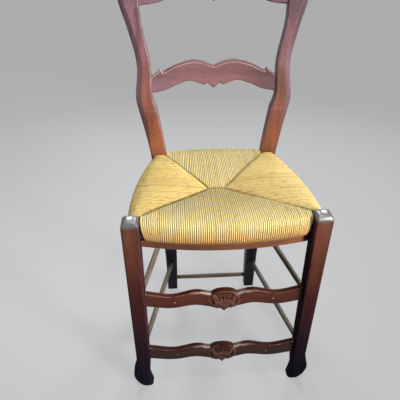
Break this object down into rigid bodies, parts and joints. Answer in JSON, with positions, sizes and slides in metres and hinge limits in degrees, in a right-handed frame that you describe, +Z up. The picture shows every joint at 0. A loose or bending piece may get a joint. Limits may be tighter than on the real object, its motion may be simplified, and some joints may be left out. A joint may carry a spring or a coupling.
{
  "type": "bar stool",
  "caption": "Ladderback counter stool with a woven rush seat, serpentine back posts, scalloped slats, carved front stretchers and turned side rungs.",
  "frame": {"origin": "on the floor, under the middle of the stool's bounding box", "axes": "+Z up, the front of the stool faces -Y, +X to the right as seen from the front"},
  "size_m": [0.515, 0.505, 1.078],
  "materials": {
    "walnut_stain": "satin walnut stain",
    "walnut_carved": "satin walnut stain",
    "pale_dowel": "matt pale wood",
    "frame_beech": "bare",
    "rush_straw": "twisted rush",
    "rush_packing": "loose rush",
    "pin_wood": "polished"
  },
  "bodies": {
    "root": {"back_post_left": "walnut_stain", "back_post_right": "walnut_stain", "back_rung": "pale_dowel", "back_seat_rail": "frame_beech", "back_slat": "walnut_stain", "crest_rail": "walnut_stain", "front_apron": "walnut_stain", "front_leg_left": "walnut_stain", "front_leg_right": "walnut_stain", "front_seat_rail": "frame_beech", "front_stretcher_lower": "walnut_carved", "front_stretcher_upper": "walnut_carved", "rush_seat": "rush_straw", "seat_stuffing_back": "rush_packing", "seat_stuffing_front": "rush_packing", "seat_stuffing_left": "rush_packing", "seat_stuffing_right": "rush_packing", "side_rung_lower_left": "pale_dowel", "side_rung_lower_right": "pale_dowel", "side_rung_upper_left": "pale_dowel", "side_rung_upper_right": "pale_dowel", "side_seat_rail_left": "frame_beech", "side_seat_rail_right": "frame_beech", "stretcher_pin_lower_left": "pin_wood", "stretcher_pin_lower_right": "pin_wood", "stretcher_pin_upper_left": "pin_wood", "stretcher_pin_upper_right": "pin_wood"}
  },
  "joints": []
}
